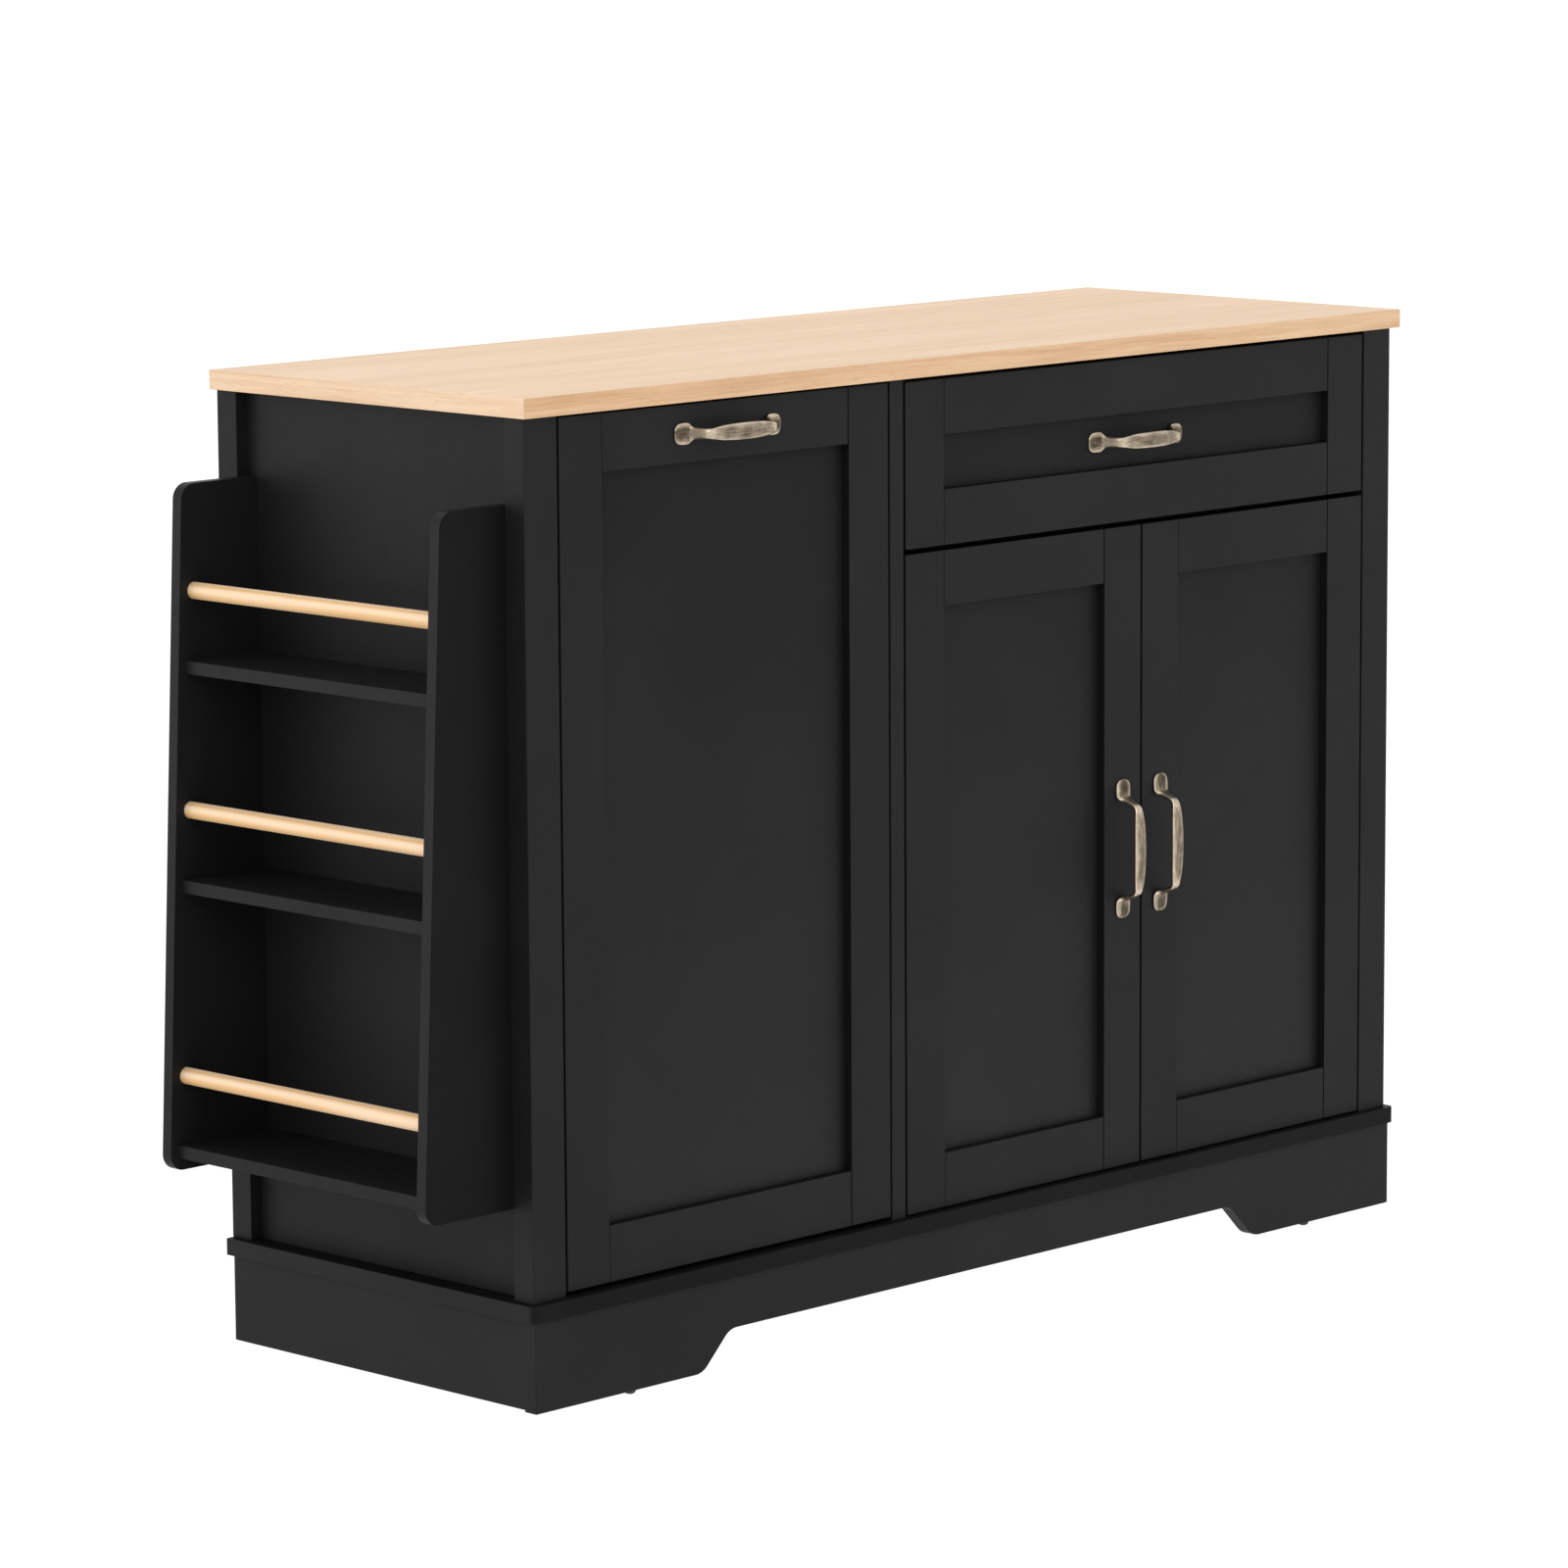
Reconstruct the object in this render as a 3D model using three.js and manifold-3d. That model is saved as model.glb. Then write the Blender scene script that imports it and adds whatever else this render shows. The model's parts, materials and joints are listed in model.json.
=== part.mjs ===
// Kitchen island: an oak worktop on a black cabinet that holds a tilt-out bin behind its tall door,
// a drawer above a two-door cupboard, and an open rack with pine rails on its left end.
// Millimetres. +X is to the right seen from the front, +Y to the back, +Z up.
// Every piece is placed from the worktop's front left corner above the floor, and the whole island
// is then moved so that its origin is the middle of its bounding box's underside.

import * as THREE from "three";
import { mergeVertices } from "three/addons/utils/BufferGeometryUtils.js";
import Module from "manifold-3d";

const wasm = await Module();
wasm.setup();

// Worktop and overall height
const topWidth = 1200;
const topDepth = 416;
const topThick = 18;
const totalHeight = 911;

// How far the worktop stands out over the cabinet
const topSideOverhang = 6.5;
const topFrontOverhang = 8;
const topBackOverhang = 3;

// Cabinet
const postWidth = 40;
const frontPostDepth = 25;
const backPostDepth = 26;
const panelThick = 12;
const panelRecess = 13;
const partitionThick = 18;
const binOpening = 423.5;
const backStileWidth = 40;
const deckThick = 12;
const deckBelowDrawer = 5;
const shelfThick = 12;
const shelfHeight = 300;
const shelfSetback = 40;

// Base board, skirt and glides
const baseThick = 16;
const baseOverhang = 8;
const baseCornerRadius = 8;
const skirtHeight = 83.25;
const skirtThick = 15;
const skirtFrontProud = 4;
const skirtEndProud = 2;
const sideSkirtInset = 1;
const sideSkirtLift = 1.5;
const archFoot = 209.5;
const archRise = 35.5;
const archFillet = 22;
const glideHeight = 4;
const glideRadius = 5.5;
const glideFromEnd = 123.5;

// Fronts, all flush with the posts
const frontThick = 18;
const frameWidth = 52;
const frameRecess = 9;
const sideGap = 2.5;
const binTopGap = 2.75;
const binBottomGap = 4.5;
const doorBottomGap = 2;
const drawerFrontHeight = 155.25;
const drawerTopGap = 4;
const drawerSideGap = 3;
const drawerToDoorGap = 5;

// Handles
const handleLength = 135;
const handleFootWidth = 20;
const handleFootLength = 24;
const handleNeckWidth = 8;
const handleGripWidth = 15;
const handleProjection = 26;
const handleThick = 4;
const handleBow = 3;
const handleRiserLength = 8;
const handleChamferShare = 0.45;

// Tilt-out bin carrier, its pivot and its stops
const pivotDepth = 6;
const pivotRise = 8;
const pivotRadius = 3;
const pivotInPost = 8;
const pivotInDoor = 12.5;
const carrierBoard = 12;
const carrierSideGap = 14;
const carrierRise = 14;
const carrierBackRoom = 41;
const carrierSideHeight = 260;
const carrierBackHeight = 90;
const binStopAngle = 30;
const stopPegRadius = 4;
const stopPegAlong = 250;

// Drawer box and its three-member slides
const drawerBoard = 12;
const drawerBackRoom = 41;
const drawerBoxRise = 15;
const drawerBoxDrop = 22.5;
const drawerBottomThick = 6;
const drawerBottomRise = 8;
const slideWidth = 12.75;
const slideBackRoom = 30;
const slideFrontRoom = 1;
const slideSteel = 1.25;
const slideFromBoxBottom = 50;
const slideHalfHeights = { outer: 22.5, middle: 18, inner: 12 };

// Concealed hinge arms
const hingeFromEnd = 85;
const hingeArmHeight = 18;
const hingeArmBehindDoor = 8;
const hingePlateThick = 2;
const hingePlateAhead = 12;
const hingePlateBehind = 52;
const hingeArmReach = 13;
const hingeArmLength = 38;
const hingeArmBevel = 6;

// Rack on the left end
const rackBoard = 12;
const rackBelowTop = 78;
const rackAboveBase = 83.25;
const rackDepthTop = 90;
const rackDepthBottom = 119;
const rackCornerRadius = 15;
const lowerShelfRise = 24;
const middleShelfDrop = 360.5;
const upperShelfDrop = 160.5;
const rackShelfSetback = 8;
const rodRadius = 7.75;
const rodAboveShelf = 63;
const rodSetback = 17.5;
const rodSocket = 6;

// Clearance round a pin or a rod in its hole
const holeClearance = 0.3;

// Levels
const skirtBottom = glideHeight;
const baseBottom = skirtBottom + skirtHeight;
const baseTop = baseBottom + baseThick;
const topBottom = totalHeight - topThick;

// Cabinet outline in plan
const left = topSideOverhang;
const right = topWidth - topSideOverhang;
const front = topFrontOverhang;
const back = topDepth - topBackOverhang;
const frontPostBack = front + frontPostDepth;
const backPostFront = back - backPostDepth;
const leftPanel = [left + panelRecess, left + panelRecess + panelThick];
const rightPanel = [right - panelRecess - panelThick, right - panelRecess];
const binBay = [left + postWidth, left + postWidth + binOpening];
const partitionX = [binBay[1], binBay[1] + partitionThick];
const cupboard = [partitionX[1], right - postWidth];
const carcass = [baseTop, topBottom];
const betweenPosts = [frontPostBack, backPostFront];

// Fronts
const frontPlane = [front, front + frontThick];
const binDoorX = [binBay[0] + sideGap, binBay[1] - sideGap];
const binDoorZ = [baseTop + binBottomGap, topBottom - binTopGap];
const drawerFrontX = [cupboard[0] + drawerSideGap, cupboard[1] - drawerSideGap];
const drawerFrontTop = topBottom - drawerTopGap;
const drawerFrontZ = [drawerFrontTop - drawerFrontHeight, drawerFrontTop];
const doorWidth = (cupboard[1] - cupboard[0] - 3 * sideGap) / 2;
const leftDoorX = [cupboard[0] + sideGap, cupboard[0] + sideGap + doorWidth];
const rightDoorX = [cupboard[1] - sideGap - doorWidth, cupboard[1] - sideGap];
const doorZ = [baseTop + doorBottomGap, drawerFrontZ[0] - drawerToDoorGap];

const finishes = {
  blackPaint: { color: 0x2c2c2c, roughness: 0.5, metalness: 0 },
  oak: { color: 0xe9d2b2, roughness: 0.5, metalness: 0 },
  pine: { color: 0xe8c99c, roughness: 0.6, metalness: 0 },
  antiqueBrass: { color: 0xa8957a, roughness: 0.35, metalness: 1 },
  zincSteel: { color: 0xb9bcc0, roughness: 0.35, metalness: 1 },
  nylon: { color: 0x2b2b2c, roughness: 0.6, metalness: 0 },
};

const island = new THREE.Group();

function add(name, finish, geometry) {
  const mesh = new THREE.Mesh(geometry, new THREE.MeshStandardMaterial(finishes[finish]));
  mesh.name = name;
  island.add(mesh);
}

function middle([low, high]) {
  return (low + high) / 2;
}

// A board between two X, two Y and two Z values.
function board(x, y, z) {
  const geometry = new THREE.BoxGeometry(1, 1, 1);
  const points = geometry.attributes.position;
  for (let i = 0; i < points.count; i += 1) {
    const corner = [points.getX(i), points.getY(i), points.getZ(i)];
    const [px, py, pz] = [x, y, z].map((range, axis) => range[corner[axis] > 0 ? 1 : 0]);
    points.setXYZ(i, px, py, pz);
  }
  return geometry;
}

// A closed outline through the corners [a, b, radius], each rounded by its own radius.
function roundedOutline(corners) {
  const shape = new THREE.Shape();
  corners.forEach(([a, b, radius = 0], index) => {
    const corner = new THREE.Vector2(a, b);
    const before = corners[(index + corners.length - 1) % corners.length];
    const after = corners[(index + 1) % corners.length];
    const into = corner.clone().sub(new THREE.Vector2(before[0], before[1])).normalize();
    const out = new THREE.Vector2(after[0], after[1]).sub(corner).normalize();
    const turn = Math.atan2(into.cross(out), into.dot(out));
    const start = corner.clone().addScaledVector(into, -radius * Math.tan(Math.abs(turn) / 2));
    if (index === 0) {
      shape.moveTo(start.x, start.y);
    } else {
      shape.lineTo(start.x, start.y);
    }
    if (radius > 0) {
      const side = Math.sign(turn);
      const centre = new THREE.Vector2(-into.y, into.x).multiplyScalar(side * radius).add(start);
      const angle = Math.atan2(start.y - centre.y, start.x - centre.x);
      shape.absarc(centre.x, centre.y, radius, angle, angle + turn, side < 0);
    }
  });
  shape.closePath();
  return shape;
}

function extrude(shape, length, curveSegments = 8) {
  return new THREE.ExtrudeGeometry(shape, { depth: length, bevelEnabled: false, curveSegments });
}

// An outline in X and Y, standing from one Z to another.
function standing(shape, [low, high]) {
  return extrude(shape, high - low).translate(0, 0, low);
}

// An outline in X and Z, running from one Y to another.
function acrossDepth(shape, [near, far]) {
  const turn = new THREE.Matrix4().set(1, 0, 0, 0, 0, 0, -1, far, 0, 1, 0, 0, 0, 0, 0, 1);
  return extrude(shape, far - near).applyMatrix4(turn);
}

// A round bar along X or Y.
function barAlongX([low, high], y, z, radius, segments = 24) {
  const bar = new THREE.CylinderGeometry(radius, radius, high - low, segments);
  return bar.rotateZ(Math.PI / 2).translate((low + high) / 2, y, z);
}

function barAlongY(x, [near, far], z, radius, segments = 32) {
  const bar = new THREE.CylinderGeometry(radius, radius, far - near, segments);
  return bar.translate(0, (near + far) / 2, 0).translate(x, 0, z);
}

function toManifold(geometry) {
  const bare = geometry.clone();
  bare.deleteAttribute("normal");
  bare.deleteAttribute("uv");
  const merged = mergeVertices(bare, 1e-4);
  return new wasm.Manifold(new wasm.Mesh({
    numProp: 3,
    vertProperties: new Float32Array(merged.attributes.position.array),
    triVerts: new Uint32Array(merged.index.array),
  }));
}

function cut(geometry, ...cutters) {
  const solid = cutters.reduce((rest, cutter) => rest.subtract(toManifold(cutter)), toManifold(geometry));
  const mesh = solid.getMesh();
  const result = new THREE.BufferGeometry();
  result.setAttribute("position", new THREE.BufferAttribute(new Float32Array(mesh.vertProperties), 3));
  result.setIndex(new THREE.BufferAttribute(new Uint32Array(mesh.triVerts), 1));
  return result;
}

// Worktop
add("worktop", "oak", board([0, topWidth], [0, topDepth], [topBottom, totalHeight]));

// Base board with rounded front corners
const baseX = [left - baseOverhang, right + baseOverhang];
const baseFront = front - baseOverhang;
add("base_board", "blackPaint", standing(roundedOutline([
  [baseX[0], baseFront, baseCornerRadius],
  [baseX[1], baseFront, baseCornerRadius],
  [baseX[1], back],
  [baseX[0], back],
]), [baseBottom, baseTop]));

// Skirt: the arched front board covers the ends of the side boards
const skirtX = [left - skirtEndProud, right + skirtEndProud];
const skirtY = [front - skirtFrontProud, front - skirtFrontProud + skirtThick];
const archTop = skirtBottom + archRise;
add("skirt_front", "blackPaint", acrossDepth(roundedOutline([
  [skirtX[0], skirtBottom],
  [skirtX[0] + archFoot, skirtBottom, archFillet],
  [skirtX[0] + archFoot + archRise, archTop, archFillet],
  [skirtX[1] - archFoot - archRise, archTop, archFillet],
  [skirtX[1] - archFoot, skirtBottom, archFillet],
  [skirtX[1], skirtBottom],
  [skirtX[1], baseBottom],
  [skirtX[0], baseBottom],
]), skirtY));

const sideSkirtX = {
  left: [skirtX[0] + sideSkirtInset, skirtX[0] + sideSkirtInset + skirtThick],
  right: [skirtX[1] - sideSkirtInset - skirtThick, skirtX[1] - sideSkirtInset],
};
const skirtEnd = back - skirtEndProud;
const sideSkirtZ = [skirtBottom + sideSkirtLift, baseBottom];
for (const side of ["left", "right"]) {
  add(`skirt_${side}`, "blackPaint", board(sideSkirtX[side], [skirtY[1], skirtEnd], sideSkirtZ));
}
const backSkirtX = [sideSkirtX.left[1], sideSkirtX.right[0]];
const backSkirtY = [skirtEnd - skirtThick, skirtEnd];
add("skirt_back", "blackPaint", board(backSkirtX, backSkirtY, [skirtBottom, baseBottom]));

// Nail-on glides: a flat foot, a rounded side and a flat top against the skirt
function glide(x, y) {
  const shares = [[0, 0], [0.55, 0], [0.85, 0.25], [1, 0.7], [1, 1], [0, 1]];
  const profile = shares.map(([out, up]) => new THREE.Vector2(glideRadius * out, glideHeight * up));
  return new THREE.LatheGeometry(profile, 20).rotateX(Math.PI / 2).translate(x, y, 0);
}

const glideX = { left: skirtX[0] + glideFromEnd, right: skirtX[1] - glideFromEnd };
const glideY = { front: middle(skirtY), back: middle(backSkirtY) };
for (const [row, y] of Object.entries(glideY)) {
  for (const [side, x] of Object.entries(glideX)) {
    add(`glide_${row}_${side}`, "nylon", glide(x, y));
  }
}

// Bin pivot axis, inside the foot of the tall door
const pivotY = front + pivotDepth;
const pivotZ = binDoorZ[0] + pivotRise;

const pivotX = {
  left: [binBay[0] - pivotInPost, binDoorX[0] + pivotInDoor],
  right: [binDoorX[1] - pivotInDoor, binBay[1] + pivotInPost],
};

function pivotHole([low, high]) {
  const radius = pivotRadius + holeClearance;
  return barAlongX([low - holeClearance, high + holeClearance], pivotY, pivotZ, radius);
}

// Posts
const frontPostY = [front, frontPostBack];
const backPostY = [backPostFront, back];
const leftPostX = [left, left + postWidth];
const rightPostX = [right - postWidth, right];
add("post_front_left", "blackPaint", cut(board(leftPostX, frontPostY, carcass), pivotHole(pivotX.left)));
add("post_front_right", "blackPaint", board(rightPostX, frontPostY, carcass));
add("post_back_left", "blackPaint", board(leftPostX, backPostY, carcass));
add("post_back_right", "blackPaint", board(rightPostX, backPostY, carcass));

// End panels set back between the posts, the partition and the back
add("side_panel_left", "blackPaint", board(leftPanel, betweenPosts, carcass));
add("side_panel_right", "blackPaint", board(rightPanel, betweenPosts, carcass));
const backPanelY = [backPostFront, backPostFront + panelThick];
const partition = board(partitionX, [front, backPostFront], carcass);
add("partition", "blackPaint", cut(partition, pivotHole(pivotX.right)));
add("back_panel", "blackPaint", board([leftPostX[1], rightPostX[0]], backPanelY, carcass));
const stileX = [middle(partitionX) - backStileWidth / 2, middle(partitionX) + backStileWidth / 2];
add("back_stile", "blackPaint", board(stileX, [backPanelY[1], back], carcass));

// The right cheek fills out the bay to the post's inner face and carries slides and hinges
add("right_cheek", "blackPaint", board([cupboard[1], rightPanel[0]], betweenPosts, carcass));

// Deck under the drawer and the cupboard's shelf
const deckTop = drawerFrontZ[0] - deckBelowDrawer;
add("drawer_deck", "blackPaint", board(cupboard, betweenPosts, [deckTop - deckThick, deckTop]));
const shelfZ = [baseTop + shelfHeight, baseTop + shelfHeight + shelfThick];
add("cupboard_shelf", "blackPaint", board(cupboard, [front + shelfSetback, backPostFront], shelfZ));

// A framed front: a slab whose flat panel is set back inside four frame members
function framedFront([x0, x1], [z0, z1], ...holes) {
  const panelX = [x0 + frameWidth, x1 - frameWidth];
  const panelZ = [z0 + frameWidth, z1 - frameWidth];
  const recess = board(panelX, [front - frontThick, front + frameRecess], panelZ);
  return cut(board([x0, x1], frontPlane, [z0, z1]), recess, ...holes);
}

// Half a handle, from the tip of its foot to the middle of its grip. Each section gives its distance
// from the middle, its distance out from the face, its half width and its half thickness.
function halfHandle() {
  const footRadius = handleFootWidth / 2;
  const footCentre = handleLength / 2 - footRadius;
  const neckStart = handleLength / 2 - handleFootLength;
  const neck = handleNeckWidth / 2;
  const thick = handleThick / 2;
  const thin = thick * 0.7;
  const shoulder = handleProjection - thick - handleBow;
  const gripEnd = neckStart - handleRiserLength;
  const tip = [0.15, 0.5, 0.9, 1.25].map((angle) => {
    return [footCentre + footRadius * Math.cos(angle), thin, footRadius * Math.sin(angle), thin];
  });
  const riser = [
    [footCentre, thin, footRadius, thin],
    [neckStart + 6, thin * 1.1, footRadius * 0.97, thin * 1.1],
    [neckStart + 2.5, thin * 1.8, footRadius * 0.72, thick],
    [neckStart - 0.5, shoulder * 0.25, neck * 1.15, thick],
    [neckStart - 3, shoulder * 0.55, neck, thick],
    [neckStart - 5.5, shoulder * 0.83, neck, thick],
    [gripEnd, shoulder, neck, thick],
  ];
  const grip = [0.8, 0.55, 0.27, 0].map((share) => {
    const bow = Math.cos((Math.PI / 2) * share);
    return [gripEnd * share, shoulder + handleBow * bow, neck + (handleGripWidth / 2 - neck) * bow, thick];
  });
  return [...tip, ...riser, ...grip];
}

// The whole handle lies along X with its feet on the plane Y = 0 and stands out to -Y.
function handle() {
  const half = halfHandle();
  const sections = [
    ...half.map(([along, ...rest]) => [-along, ...rest]),
    ...half.slice(0, -1).reverse(),
  ];
  const rings = sections.map(([along, out, halfWidth, halfThick], index) => {
    const before = sections[Math.max(index - 1, 0)];
    const after = sections[Math.min(index + 1, sections.length - 1)];
    const slope = Math.atan2(after[1] - before[1], after[0] - before[0]);
    const chamfer = handleChamferShare * Math.min(halfWidth, halfThick);
    const corners = [
      [halfWidth, halfThick - chamfer],
      [halfWidth - chamfer, halfThick],
      [chamfer - halfWidth, halfThick],
      [-halfWidth, halfThick - chamfer],
      [-halfWidth, chamfer - halfThick],
      [chamfer - halfWidth, -halfThick],
      [halfWidth - chamfer, -halfThick],
      [halfWidth, chamfer - halfThick],
    ];
    return corners.map(([across, lift]) => [
      along - lift * Math.sin(slope),
      -(out + lift * Math.cos(slope)),
      across,
    ]);
  });
  const sides = rings[0].length;
  const faces = [];
  for (let ring = 0; ring < rings.length - 1; ring += 1) {
    for (let side = 0; side < sides; side += 1) {
      const here = ring * sides + side;
      const next = ring * sides + ((side + 1) % sides);
      faces.push(here, next, here + sides, next, next + sides, here + sides);
    }
  }
  const last = (rings.length - 1) * sides;
  for (let side = 1; side < sides - 1; side += 1) {
    faces.push(0, side + 1, side, last, last + side, last + side + 1);
  }
  const geometry = new THREE.BufferGeometry();
  geometry.setAttribute("position", new THREE.Float32BufferAttribute(rings.flat(2), 3));
  geometry.setIndex(faces);
  return geometry;
}

// Tilt-out bin: the tall door carries an open-topped cradle and turns on two pins at its foot
const binDoor = framedFront(binDoorX, binDoorZ, pivotHole(pivotX.left), pivotHole(pivotX.right));
add("bin_door", "blackPaint", binDoor);
const binHandleZ = binDoorZ[1] - frameWidth / 2;
add("bin_handle", "antiqueBrass", handle().translate(middle(binDoorX), front, binHandleZ));
for (const side of ["left", "right"]) {
  add(`bin_pivot_${side}`, "zincSteel", barAlongX(pivotX[side], pivotY, pivotZ, pivotRadius));
}

const carrierX = [binBay[0] + carrierSideGap, binBay[1] - carrierSideGap];
const carrierY = [frontPlane[1], backPostFront - carrierBackRoom];
const carrierBottom = binDoorZ[0] + carrierRise;
const carrierFloorTop = carrierBottom + carrierBoard;
const carrierSideTop = carrierFloorTop + carrierSideHeight;
const carrierInsideX = [carrierX[0] + carrierBoard, carrierX[1] - carrierBoard];
const carrierSideZ = [carrierFloorTop, carrierSideTop];
const carrierBackY = [carrierY[1] - carrierBoard, carrierY[1]];
const carrierBackZ = [carrierFloorTop, carrierFloorTop + carrierBackHeight];
add("bin_floor", "blackPaint", board(carrierX, carrierY, [carrierBottom, carrierFloorTop]));
add("bin_side_left", "blackPaint", board([carrierX[0], carrierInsideX[0]], carrierY, carrierSideZ));
add("bin_side_right", "blackPaint", board([carrierInsideX[1], carrierX[1]], carrierY, carrierSideZ));
add("bin_back_rail", "blackPaint", board(carrierInsideX, carrierBackY, carrierBackZ));

// Stop pegs: the top edges of the cradle's sides meet them at the full tilt
const stopTilt = THREE.MathUtils.degToRad(binStopAngle);
const stopReach = carrierSideTop - pivotZ + stopPegRadius + holeClearance;
const stopY = pivotY + stopPegAlong * Math.cos(stopTilt) - stopReach * Math.sin(stopTilt);
const stopZ = pivotZ + stopPegAlong * Math.sin(stopTilt) + stopReach * Math.cos(stopTilt);
const stopX = { left: [leftPanel[1], carrierInsideX[0]], right: [carrierInsideX[1], binBay[1]] };
for (const side of ["left", "right"]) {
  add(`bin_stop_${side}`, "zincSteel", barAlongX(stopX[side], stopY, stopZ, stopPegRadius));
}

// Drawer
add("drawer_front", "blackPaint", framedFront(drawerFrontX, drawerFrontZ));
const drawerHandleAt = [middle(drawerFrontX), front + frameRecess, middle(drawerFrontZ)];
add("drawer_handle", "antiqueBrass", handle().translate(...drawerHandleAt));
const boxX = [cupboard[0] + slideWidth, cupboard[1] - slideWidth];
const boxInsideX = [boxX[0] + drawerBoard, boxX[1] - drawerBoard];
const boxY = [frontPlane[1], backPostFront - drawerBackRoom];
const boxZ = [drawerFrontZ[0] + drawerBoxRise, drawerFrontZ[1] - drawerBoxDrop];
const boxBackY = [boxY[1] - drawerBoard, boxY[1]];
const boxBottomZ = [boxZ[0] + drawerBottomRise, boxZ[0] + drawerBottomRise + drawerBottomThick];
add("drawer_side_left", "blackPaint", board([boxX[0], boxInsideX[0]], boxY, boxZ));
add("drawer_side_right", "blackPaint", board([boxInsideX[1], boxX[1]], boxY, boxZ));
add("drawer_back", "blackPaint", board(boxInsideX, boxBackY, boxZ));
add("drawer_bottom", "blackPaint", board(boxInsideX, [boxY[0], boxBackY[0]], boxBottomZ));

// Slides: three steel channels nested on each side, the outer on the cabinet, the inner on the drawer.
const slideY = [frontPlane[1] + slideFrontRoom, backPostFront - slideBackRoom];

// A channel's web stands at one X and its two lips run towards another X.
function channel(webX, lipX, halfHeight) {
  const inward = Math.sign(lipX - webX);
  const z = boxZ[0] + slideFromBoxBottom;
  const webInside = webX + inward * slideSteel;
  const outline = [
    [webX, z - halfHeight],
    [lipX, z - halfHeight],
    [lipX, z - halfHeight + slideSteel],
    [webInside, z - halfHeight + slideSteel],
    [webInside, z + halfHeight - slideSteel],
    [lipX, z + halfHeight - slideSteel],
    [lipX, z + halfHeight],
    [webX, z + halfHeight],
  ];
  return acrossDepth(roundedOutline(outline), slideY);
}

const channels = {
  outer: { web: 0, lip: 9 },
  middle: { web: 3, lip: 10.5 },
  inner: { web: slideWidth, lip: 6 },
};
for (const [side, start, inward] of [["left", cupboard[0], 1], ["right", cupboard[1], -1]]) {
  for (const [member, { web, lip }] of Object.entries(channels)) {
    const steel = channel(start + inward * web, start + inward * lip, slideHalfHeights[member]);
    add(`slide_${member}_${side}`, "zincSteel", steel);
  }
}

// Cupboard doors, their handles upright on the meeting frame members
add("cupboard_door_left", "blackPaint", framedFront(leftDoorX, doorZ));
add("cupboard_door_right", "blackPaint", framedFront(rightDoorX, doorZ));
const doorHandleX = { left: leftDoorX[1] - frameWidth / 2, right: rightDoorX[0] + frameWidth / 2 };
for (const [side, x] of Object.entries(doorHandleX)) {
  const upright = handle().rotateY(Math.PI / 2).translate(x, front, middle(doorZ));
  add(`cupboard_handle_${side}`, "antiqueBrass", upright);
}

// Concealed hinge arms: a plate on the cabinet's side and an arm that reaches to the door's back
function hingeArm(wallX, inward, z) {
  const armFront = frontPlane[1] + hingeArmBehindDoor;
  const armBack = armFront + hingeArmLength;
  const outline = [
    [0, armFront + hingePlateAhead],
    [hingePlateThick, armFront + hingePlateAhead],
    [hingePlateThick, armFront],
    [hingeArmReach - hingePlateThick, armFront],
    [hingeArmReach, armFront + hingeArmBevel],
    [hingeArmReach, armBack - hingeArmBevel],
    [hingeArmReach - hingePlateThick, armBack],
    [hingePlateThick, armBack],
    [hingePlateThick, armFront + hingePlateBehind],
    [0, armFront + hingePlateBehind],
  ].map(([x, y]) => [wallX + inward * x, y]);
  const height = [z - hingeArmHeight / 2, z + hingeArmHeight / 2];
  return standing(roundedOutline(outline), height);
}

const hingeZ = { lower: doorZ[0] + hingeFromEnd, upper: doorZ[1] - hingeFromEnd };
for (const [level, z] of Object.entries(hingeZ)) {
  add(`hinge_arm_left_${level}`, "zincSteel", hingeArm(cupboard[0], 1, z));
  add(`hinge_arm_right_${level}`, "zincSteel", hingeArm(cupboard[1], -1, z));
}

// Rack: two leaning sides on the left end panel, three shelves and three round rails
const rackFrontY = [frontPostBack, frontPostBack + rackBoard];
const rackBackY = [backPostFront - rackBoard, backPostFront];
const rackInsideY = [rackFrontY[1], rackBackY[0]];
const rackWall = leftPanel[0];
const rackTop = topBottom - rackBelowTop;
const rackBottom = baseTop + rackAboveBase;
const rackShelfTops = [
  rackBottom + lowerShelfRise,
  rackTop - middleShelfDrop,
  rackTop - upperShelfDrop,
];
const rackLean = (rackDepthBottom - rackDepthTop) / (rackTop - rackBottom);

function rackEdge(z) {
  return rackWall - rackDepthTop - rackLean * (rackTop - z);
}

const rackOutline = [
  [rackWall, rackBottom],
  [rackWall, rackTop],
  [rackEdge(rackTop), rackTop, rackCornerRadius],
  [rackEdge(rackBottom), rackBottom, rackCornerRadius],
];
const rods = rackShelfTops.map((shelfTop) => {
  const z = shelfTop + rodAboveShelf;
  return { x: rackEdge(z) + rodSetback, z };
});

function rodHoles(clear) {
  const reach = [rackInsideY[0] - rodSocket - clear, rackInsideY[1] + rodSocket + clear];
  return rods.map(({ x, z }) => barAlongY(x, reach, z, rodRadius + clear));
}

const sockets = rodHoles(holeClearance);
const rackSides = { front: rackFrontY, back: rackBackY };
for (const [row, y] of Object.entries(rackSides)) {
  const side = acrossDepth(roundedOutline(rackOutline), y);
  add(`rack_side_${row}`, "blackPaint", cut(side, ...sockets));
}
const levels = ["lower", "middle", "upper"];
rodHoles(0).forEach((rod, index) => add(`rack_rail_${levels[index]}`, "pine", rod));
rackShelfTops.forEach((shelfTop, index) => {
  const shelfX = [rackEdge(shelfTop) + rackShelfSetback, rackWall];
  const shelf = board(shelfX, rackInsideY, [shelfTop - rackBoard, shelfTop]);
  add(`rack_shelf_${levels[index]}`, "blackPaint", shelf);
});

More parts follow.
